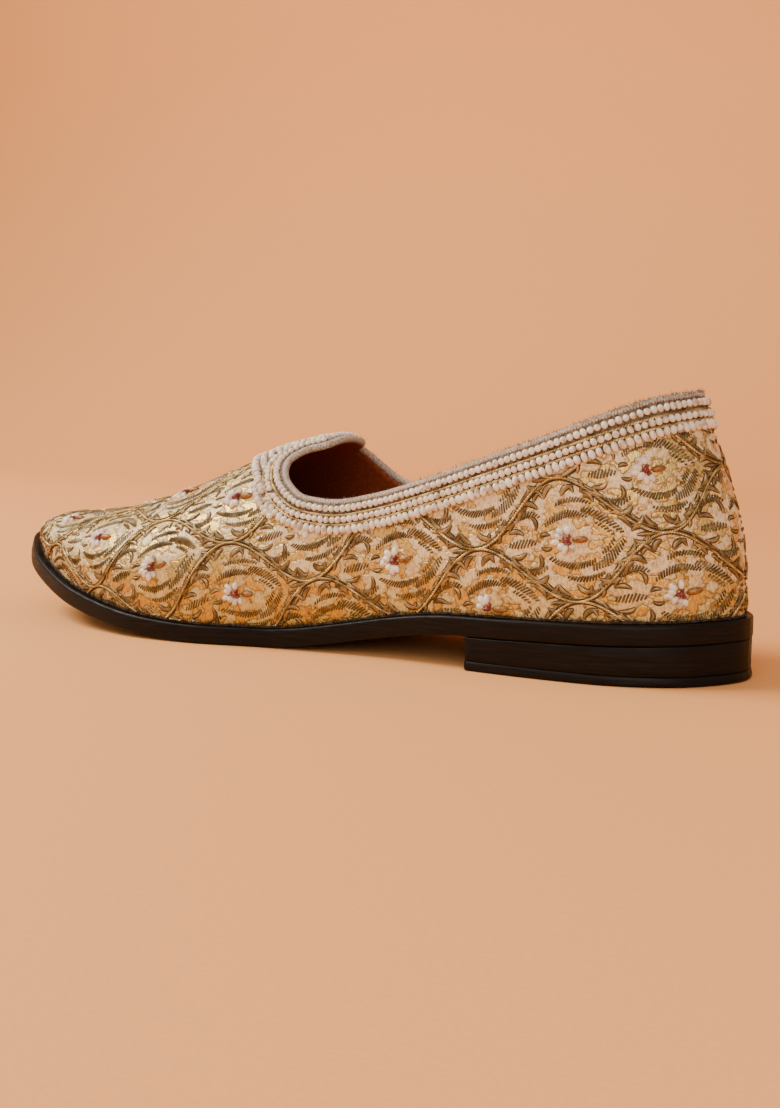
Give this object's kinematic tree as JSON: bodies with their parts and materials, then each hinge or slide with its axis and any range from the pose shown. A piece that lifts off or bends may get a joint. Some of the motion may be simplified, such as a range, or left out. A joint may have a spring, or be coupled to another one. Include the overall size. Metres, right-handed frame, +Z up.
{
  "type": "mojari shoe",
  "caption": "Low slip-on mojari shoe with a pointed toe, a short tongue notched on its outer side, brocade upper, beaded collar and low block heel.",
  "frame": {"origin": "on the floor, at mid length and mid width of the shoe's bounding box", "axes": "+X towards the toe, +Y towards the outer side, +Z up"},
  "size_m": [0.2927, 0.092, 0.085],
  "materials": {
    "sole": "dyed black-brown edge, satin",
    "heel": "stacked and dyed black-brown, satin",
    "insole": "dark brown, matt",
    "brocade": "champagne satin with raised gold thread",
    "trim": "ivory beads and cord, satin"
  },
  "bodies": {
    "root": {"outsole": "sole", "heel": "heel", "heel_top_piece": "heel", "insole": "insole", "upper": "brocade", "collar_trim": "trim"}
  },
  "joints": []
}
